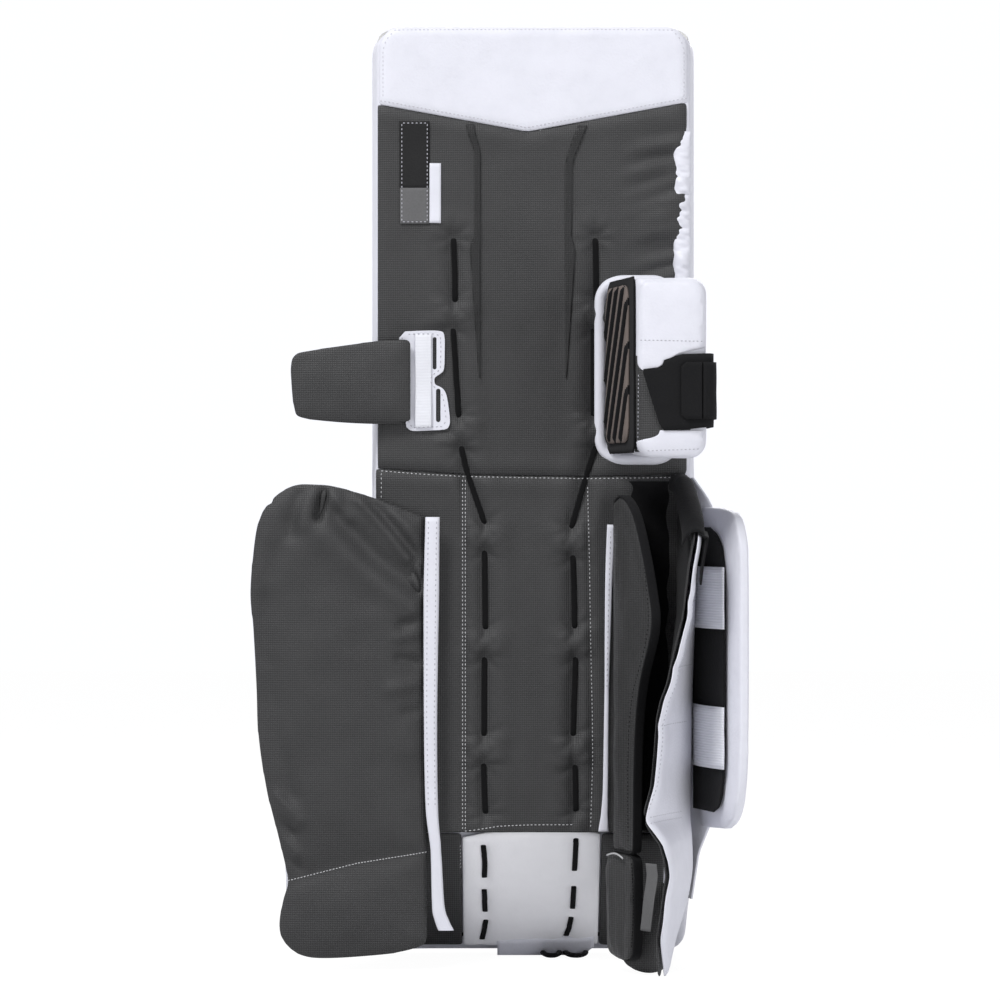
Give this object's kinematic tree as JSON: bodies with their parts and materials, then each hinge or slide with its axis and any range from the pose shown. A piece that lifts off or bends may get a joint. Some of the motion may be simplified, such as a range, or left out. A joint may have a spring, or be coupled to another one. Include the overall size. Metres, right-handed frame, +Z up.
{
  "type": "goalie leg pad",
  "caption": "Upright goalkeeper's leg pad for the left leg: laced leg side, boot bent forward, padded knee block, knee wing, calf wraps and calf landing block.",
  "frame": {"origin": "middle of the flat under the toe, on the floor", "axes": "+Z up along the pad, +Y towards its front, +X towards the leg's inner side"},
  "size_m": [0.4224, 0.3015, 0.806],
  "materials": {
    "foam": "closed-cell foam",
    "stiffener": "thin moulded sheet",
    "white_leather": "smooth synthetic leather",
    "grey_fabric": "dark grey woven nylon",
    "boot_panel": "smooth synthetic leather",
    "lace": "flat woven lace",
    "black_lining": "knitted lining",
    "hook_and_loop": "hook-and-loop tape",
    "grip": "ribbed grip cloth",
    "webbing": "woven white webbing",
    "patch": "blank woven patch"
  },
  "bodies": {
    "shin": {"shin_core": "foam", "shin_stiffener": "stiffener", "shin_front_skin": "white_leather", "shin_back_panel": "grey_fabric", "shin_laces": "lace", "channel_liner": "black_lining", "wing_binding": "webbing", "outer_wrap_binding": "webbing", "calf_block_body": "white_leather", "calf_block_lining": "black_lining", "calf_block_gusset": "white_leather", "calf_strap_upper": "webbing", "calf_strap_lower": "webbing"},
    "thigh": {"thigh_core": "foam", "thigh_stiffener": "stiffener", "thigh_front_skin": "white_leather", "thigh_back_panel": "grey_fabric", "thigh_cap_panel": "white_leather", "thigh_side_roll": "white_leather", "thigh_laces": "lace", "size_patch": "patch", "knee_block_flange": "white_leather", "knee_block_body": "grey_fabric", "knee_grip_pad": "grip", "knee_face_panel_upper": "white_leather", "knee_face_panel_lower": "white_leather", "knee_strap": "hook_and_loop", "knee_wing_plate": "white_leather", "knee_wing_webbing": "webbing"},
    "boot": {"boot_core": "foam", "boot_stiffener": "stiffener", "boot_front_skin": "white_leather", "boot_back_panel": "boot_panel", "boot_side_panels": "grey_fabric", "boot_laces": "lace", "toe_roll": "white_leather", "toe_tab": "white_leather", "toe_cords": "lace"},
    "outer_wrap": {"outer_wrap_pad": "grey_fabric", "outer_wrap_ankle_pad": "grey_fabric", "outer_wrap_shell": "white_leather"},
    "channel_wing": {"channel_wing_pad": "grey_fabric", "ankle_wing_pad": "grey_fabric"},
    "inner_wrap": {"inner_wrap_pad": "grey_fabric", "inner_wrap_shell": "white_leather", "inner_wrap_ankle_pad": "grey_fabric", "inner_wrap_band": "black_lining", "care_tag": "patch"},
    "knee_wing": {"knee_wing_pad": "grey_fabric"},
    "strap_tab": {"knee_strap_tab": "hook_and_loop"}
  },
  "joints": [
    {"name": "knee_flex", "type": "hinge", "parent": "shin", "child": "thigh", "pos_m": [0, -0.123, 0.422], "axis": [1, 0, 0], "range_deg": [-7.5, 10], "stiffness_Nm_per_rad": 40},
    {"name": "boot_flex", "type": "hinge", "parent": "shin", "child": "boot", "pos_m": [0, -0.123, 0.117], "axis": [1, 0, 0], "range_deg": [-10, 7.5], "stiffness_Nm_per_rad": 60},
    {"name": "outer_wrap_fold", "type": "hinge", "parent": "shin", "child": "outer_wrap", "pos_m": [-0.0952, -0.1376, 0.2], "axis": [0, 0, 1], "range_deg": [0, 110]},
    {"name": "inner_wrap_fold", "type": "hinge", "parent": "shin", "child": "inner_wrap", "pos_m": [0.124, -0.1298, 0.2], "axis": [0, 0, 1], "range_deg": [-32, 4]},
    {"name": "channel_wing_fold", "type": "hinge", "parent": "shin", "child": "channel_wing", "pos_m": [0.073, -0.1313, 0.2], "axis": [0, 0, 1], "range_deg": [-32, 4]},
    {"name": "knee_wing_fold", "type": "hinge", "parent": "thigh", "child": "knee_wing", "pos_m": [-0.104, -0.1377, 0.5], "axis": [0, 0, 1], "range_deg": [0, 100]},
    {"name": "strap_tab_peel", "type": "hinge", "parent": "thigh", "child": "strap_tab", "pos_m": [0.1375, -0.2577, 0.49], "axis": [0, 0, 1], "range_deg": [0, 120]}
  ],
  "couplings": [
    {"joint": "channel_wing_fold", "follows": "inner_wrap_fold", "ratio": 1}
  ]
}
